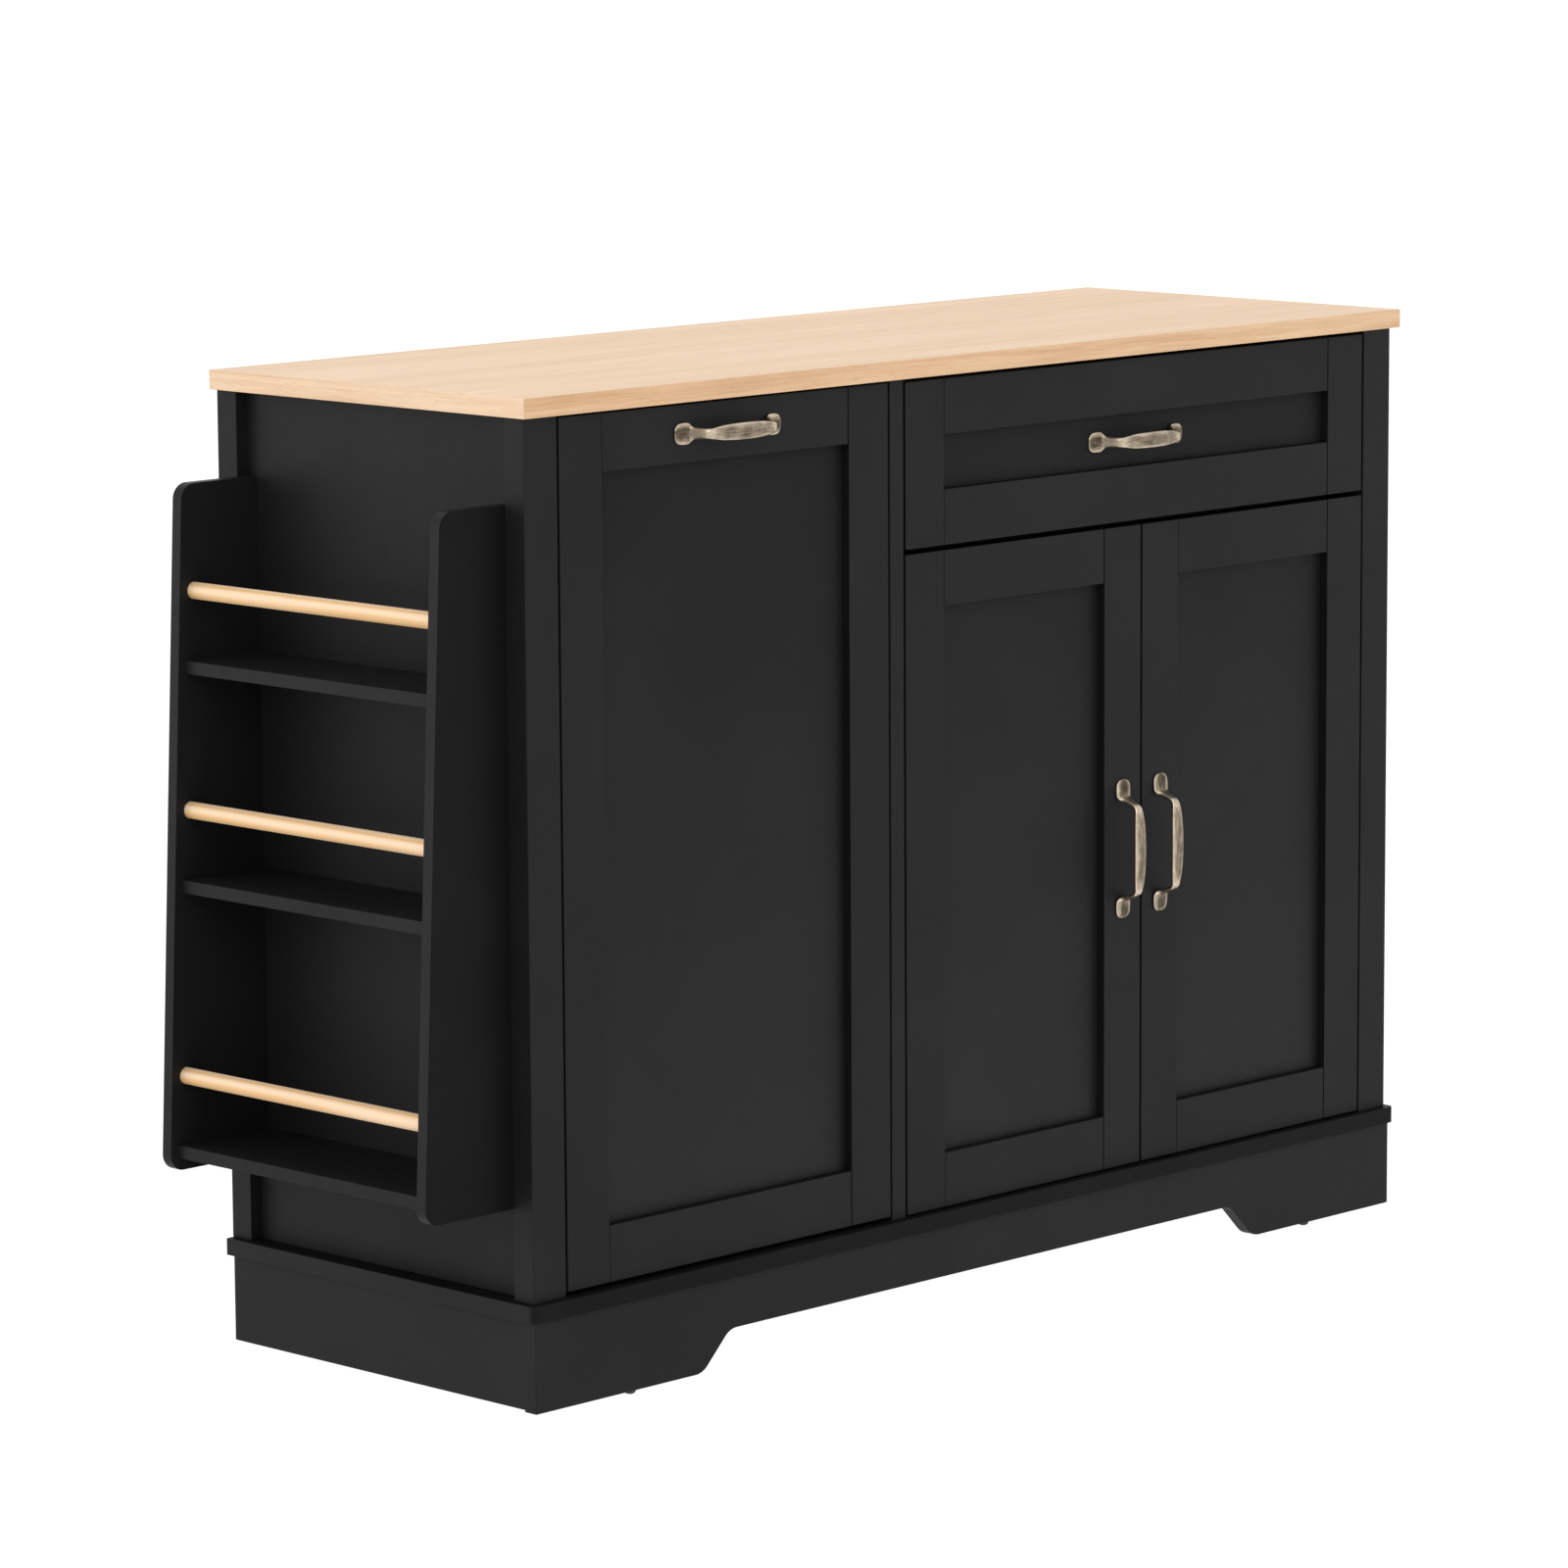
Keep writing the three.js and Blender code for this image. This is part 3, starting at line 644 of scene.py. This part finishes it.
def buildHandle(node, material, upright, setup):
    low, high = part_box(node)
    sides = setup["sides"]
    stretch = max(high - low) / 2 / setup["sections"][0][0]
    places = [(section, -section[0] * stretch) for section in setup["sections"]]
    places += [(section, section[0] * stretch) for section in reversed(setup["sections"][:-1])]
    bm = bmesh.new()
    rubbed = bm.verts.layers.float.new("rubbed")
    ring = bmesh.ops.create_circle(bm, cap_ends=False, segments=sides, radius=0.001)["verts"]
    first = list(ring)
    for index, (section, along) in enumerate(places):
        before, after = places[max(index - 1, 0)], places[min(index + 1, len(places) - 1)]
        slope = math.atan2(after[0][1] - before[0][1], after[1] - before[1])
        if index:
            edges = [bm.edges.get((ring[i], ring[(i + 1) % sides])) for i in range(sides)]
            copies = bmesh.ops.extrude_edge_only(bm, edges=edges)["geom"]
            fresh = {vert for vert in copies if isinstance(vert, bmesh.types.BMVert)}
            ring = [next(edge.other_vert(vert) for edge in vert.link_edges if edge.other_vert(vert) in fresh)
                    for vert in ring]
        handleRing(ring, section, along, slope, setup, rubbed)
    bmesh.ops.contextual_create(bm, geom=first)
    bmesh.ops.contextual_create(bm, geom=ring)
    crease = bm.edges.layers.float.new("crease_edge")
    for edge in bm.edges:
        if all(vert[rubbed] > setup["creaseRub"] for vert in edge.verts) and edge.is_manifold:
            edge[crease] = setup["crease"]
    if upright:
        bmesh.ops.rotate(bm, cent=(0, 0, 0), matrix=Matrix.Rotation(math.radians(90), 3, "Y"), verts=bm.verts)
    bmesh.ops.translate(bm, vec=((low.x + high.x) / 2, high.y, (low.z + high.z) / 2), verts=bm.verts)
    piece = finishPiece(node + "_pull", bm, material, bodyOf[node], [node], smoothAngle=180)
    smooth = piece.modifiers.new("smooth", "SUBSURF")
    smooth.levels = smooth.render_levels = setup["levels"]


for handleNode, handleMaterial, handleUpright in (
        ("bin_handle", brassAlong, False), ("drawer_handle", brassAlong, False),
        ("cupboard_handle_left", brassUpright, True), ("cupboard_handle_right", brassUpright, True)):
    buildHandle(handleNode, handleMaterial, handleUpright, handle)
print("handles made")


fittings = {
    "steelEase": 0.0003,
    "nylonEase": 0.0003,
    "pegSegments": 40,
    "screw": {"radius": 0.0036, "height": 0.0012, "dish": 0.00084, "segments": 20},
    "cup": {"radius": 0.0165, "height": 0.0009, "dish": 0.00072, "segments": 44},
    "headTaper": 0.86,                     # outer radius, as a share of the radius at the foot
    "headInsets": (0.34, 0.12),            # its rim's width and the slope's inside it, as shares of that too
    "cupFromEdge": 0.0215,
    "cupPlate": (0.015, 0.062, 0.0012),    # width, height, thickness
    "plateCorner": 0.004,
    "cupScrews": 0.0235,
    "wallPlate": 0.002,                    # thickness of the arm's plate on the wall
    "wallScrew": 0.0065,                   # from the arm's back end
    "armScrews": (0.012, 0.024),           # from the arm's front end
    "handleScrews": 0.048,
    "pinRadius": 0.0025,
    "pinLength": 0.009,
    "pinSegments": 24,
    "pinEase": 0.0004,
    "pinPlaces": (0.062, 0.350),           # from the worktop's front edge
}


def dressFittings(setup):
    for row in frame["record"]["subparts"]:
        node = row["node"]
        if row["material_slot"] == "zinc_steel":
            if node.startswith(("bin_pivot", "bin_stop")):
                low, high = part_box(node)
                bm = roundBar(low, high, 0, setup["pegSegments"])
                easeEdges(bm, setup["steelEase"], edges=sharpEdges(bm))
            else:
                bm = easedCopy(node, setup["steelEase"])
            finishPiece(node + "_steel", bm, zincSteel, bodyOf[node], [node])
        if row["material_slot"] == "nylon":
            bm = easedCopy(node, setup["nylonEase"])
            finishPiece(node + "_pad", bm, nylon, bodyOf[node], [node], smoothAngle=40)


def roundHead(bm, place, outward, head, setup):
    # a round head standing out of a surface along outward, its middle dished
    before = set(bm.verts)
    radius, height = head["radius"], head["height"]
    cone = bmesh.ops.create_cone(bm, cap_ends=True, segments=head["segments"], radius1=radius,
                                 radius2=radius * setup["headTaper"], depth=height)["verts"]
    faces = {face for vert in cone for face in vert.link_faces}
    top = max(faces, key=lambda face: face.calc_center_median().z)
    for share in setup["headInsets"]:
        bmesh.ops.inset_region(bm, faces=[top], thickness=radius * share)
    bmesh.ops.translate(bm, vec=(0, 0, -head["dish"]), verts=top.verts)
    fresh = [vert for vert in bm.verts if vert not in before]
    bmesh.ops.translate(bm, vec=(0, 0, height / 2), verts=fresh)
    turn = Vector((0, 0, 1)).rotation_difference(Vector(outward)).to_matrix()
    bmesh.ops.rotate(bm, cent=(0, 0, 0), matrix=turn, verts=fresh)
    bmesh.ops.translate(bm, vec=place, verts=fresh)


def buildHingeParts(setup):
    width, height, thick = setup["cupPlate"]
    for side, inward in (("left", 1), ("right", -1)):
        doorLow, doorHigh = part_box("cupboard_door_" + side)
        cupX = (doorLow.x if side == "left" else doorHigh.x) + inward * setup["cupFromEdge"]
        face = doorHigh.y
        for level in ("lower", "upper"):
            low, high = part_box(f"hinge_arm_{side}_{level}")
            z = (low.z + high.z) / 2
            plate = boardBetween((cupX - width / 2, face, z - height / 2),
                                 (cupX + width / 2, face + thick, z + height / 2), 0)
            upright = [edge for edge in plate.edges if nearAll(edge, 0, edge.verts[0].co.x)
                       and nearAll(edge, 2, edge.verts[0].co.z)]
            easeEdges(plate, setup["plateCorner"], segments=5, edges=upright)
            finishPiece(f"hinge_plate_{side}_{level}", plate, zincSteel, "door_" + side)
            rim = bmesh.new()
            roundHead(rim, (cupX, face + thick, z), (0, 1, 0), setup["cup"], setup)
            for lift in (-setup["cupScrews"], setup["cupScrews"]):
                roundHead(rim, (cupX, face + thick, z + lift), (0, 1, 0), setup["screw"], setup)
            finishPiece(f"hinge_cup_{side}_{level}", rim, zincSteel, "door_" + side)
            screws = bmesh.new()
            wallX, armX = (low.x, high.x) if side == "left" else (high.x, low.x)
            places = [(wallX + inward * setup["wallPlate"], high.y - setup["wallScrew"], z)]
            places += [(armX, low.y + along, z) for along in setup["armScrews"]]
            for place in places:
                roundHead(screws, place, (inward, 0, 0), setup["screw"], setup)
            finishPiece(f"hinge_screws_{side}_{level}", screws, zincSteel, "cabinet")


def buildHandleScrews(setup):
    for front, pull, along in (("bin_door", "bin_handle", 0), ("drawer_front", "drawer_handle", 0),
                               ("cupboard_door_left", "cupboard_handle_left", 2),
                               ("cupboard_door_right", "cupboard_handle_right", 2)):
        low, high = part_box(pull)
        bm = bmesh.new()
        for offset in (-setup["handleScrews"], setup["handleScrews"]):
            place = (low + high) / 2
            place[along] += offset
            place.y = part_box(front)[1].y
            roundHead(bm, place, (0, 1, 0), setup["screw"], setup)
        finishPiece(pull + "_screws", bm, zincSteel, bodyOf[front])


def buildShelfPins(setup):
    low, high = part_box("cupboard_shelf")
    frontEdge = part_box("worktop")[0].y
    radius = setup["pinRadius"]
    for side, wall, inward in (("left", low.x, 1), ("right", high.x, -1)):
        for row, place in zip(("front", "back"), setup["pinPlaces"]):
            ends = sorted((wall, wall + inward * setup["pinLength"]))
            y, z = frontEdge + place, low.z - radius
            bm = roundBar(Vector((ends[0], y - radius, z - radius)), Vector((ends[1], y + radius, z + radius)),
                          0, setup["pinSegments"])
            easeEdges(bm, setup["pinEase"], edges=sharpEdges(bm))
            finishPiece(f"shelf_pin_{side}_{row}", bm, zincSteel, "cabinet")


dressFittings(fittings)
buildHingeParts(fittings)
buildHandleScrews(fittings)
buildShelfPins(fittings)
print("fittings made")
